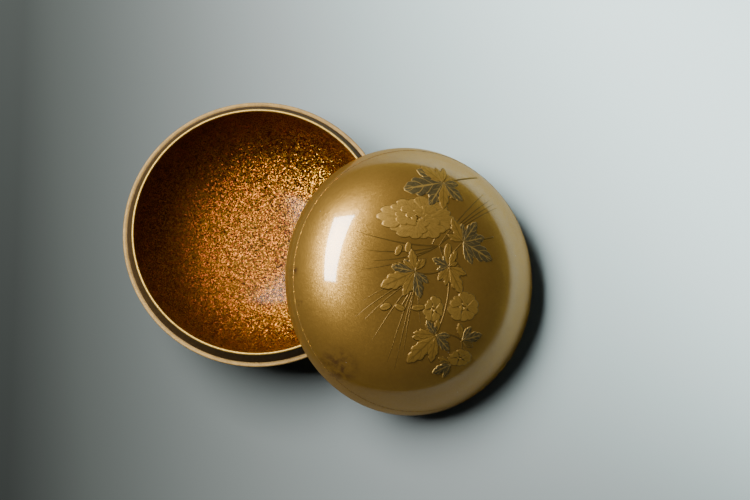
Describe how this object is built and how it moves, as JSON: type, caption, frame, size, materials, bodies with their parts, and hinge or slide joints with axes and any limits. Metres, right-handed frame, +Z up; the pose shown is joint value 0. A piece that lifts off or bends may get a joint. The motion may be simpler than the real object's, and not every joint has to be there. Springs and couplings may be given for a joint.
{
  "type": "incense box",
  "caption": "Round lacquered incense box: an open bowl with a flanged seat, and its domed lid with a raised flower spray lying off it, leaning on the flange.",
  "frame": {"origin": "centre of the bowl's flat underside, at table level", "axes": "+Z up, -Y towards the front that the picture shows, +X towards the side that the lid leans on"},
  "size_m": [0.1165, 0.0884, 0.0389],
  "materials": {
    "gold_lacquer": "fine gold powder under polished clear lacquer on wood, mirror-smooth with a slight mottle",
    "sprinkled_gold": "small gold flakes sunk at all angles in clear red-brown lacquer on wood, glossy",
    "dark_leaf": "low raised leaves in grey-green metal powder with fine gold veins, satin",
    "worn_seat": "plain gold lacquer on the seat and flange, rubbed dull and brown where the lid slides"
  },
  "bodies": {
    "root": {"box": "sprinkled_gold", "lid": "gold_lacquer"}
  },
  "joints": []
}
